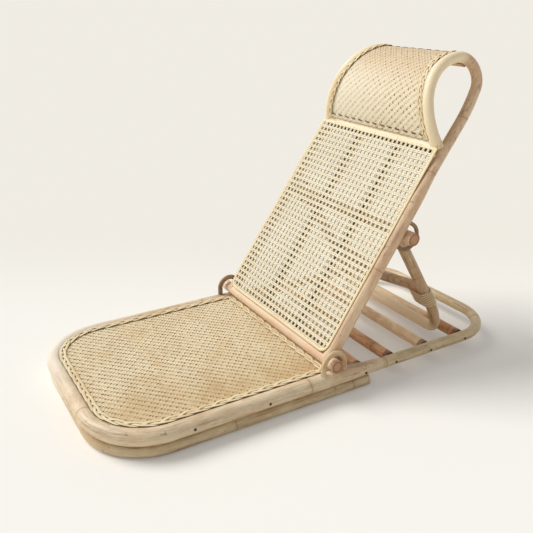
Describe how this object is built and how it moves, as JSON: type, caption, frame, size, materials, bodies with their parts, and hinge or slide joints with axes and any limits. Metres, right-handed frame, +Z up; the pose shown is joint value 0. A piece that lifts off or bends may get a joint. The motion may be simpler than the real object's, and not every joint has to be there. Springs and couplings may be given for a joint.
{
  "type": "folding beach chair",
  "caption": "Low folding beach chair of bent rattan poles, with a woven seat, a cane net backrest, a curved headrest with side loops and a folding prop.",
  "frame": {"origin": "on the ground, straight below the middle of the hinge rod, which is also the middle of the footprint", "axes": "+X across the chair, +Y from the foot end to the rear, +Z up"},
  "size_m": [0.5056, 1.029, 0.6912],
  "materials": {
    "pole": "peeled rattan, satin clear coat",
    "slat_pole": "peeled rattan with its darker skin marks",
    "rod": "peeled rattan, sawn ends",
    "arch_cane": "bent cane, satin",
    "prop_pole": "rattan with its skin, satin",
    "seat_weave": "fine twill of split cane",
    "head_weave": "herringbone of split cane",
    "braid": "plaited split cane",
    "cane_net": "open cane webbing, matt",
    "split_cane": "split cane with its glossy skin",
    "nail": "dull steel"
  },
  "bodies": {
    "base": {"rail_front": "pole", "rail_rear": "pole", "rail_ground": "pole", "seat_panel": "seat_weave", "seat_braid": "braid", "seat_rear_bar": "slat_pole", "seat_supports": "slat_pole", "slat_1": "slat_pole", "slat_2": "slat_pole", "slat_3": "slat_pole", "slat_4": "slat_pole", "hinge_arch_right": "arch_cane", "hinge_arch_left": "arch_cane", "nails_base": "nail"},
    "backrest": {"hinge_rod": "rod", "back_rail_right": "pole", "back_rail_left": "pole", "inner_pole_right": "slat_pole", "inner_pole_left": "slat_pole", "back_net": "cane_net", "net_border": "split_cane", "head_bar_low": "slat_pole", "head_bar_top": "slat_pole", "headrest_band": "split_cane", "headrest_panel": "head_weave", "headrest_braid": "braid", "prop_arch_right": "arch_cane", "prop_arch_left": "arch_cane", "nails_back": "nail"},
    "prop": {"prop_rod": "rod", "prop_frame": "prop_pole", "prop_brace": "prop_pole", "prop_binding_right": "split_cane", "prop_binding_left": "split_cane"}
  },
  "joints": [
    {"name": "backrest_fold", "type": "hinge", "parent": "base", "child": "backrest", "pos_m": [0, 0, 0.0777], "axis": [1, 0, 0], "range_deg": [0, 116]},
    {"name": "prop_fold", "type": "hinge", "parent": "backrest", "child": "prop", "pos_m": [0, 0.20073, 0.32093], "axis": [1, 0, 0], "range_deg": [-56, 0]}
  ],
  "couplings": [
    {"joint": "prop_fold", "follows": "backrest_fold", "ratio": -0.48}
  ]
}
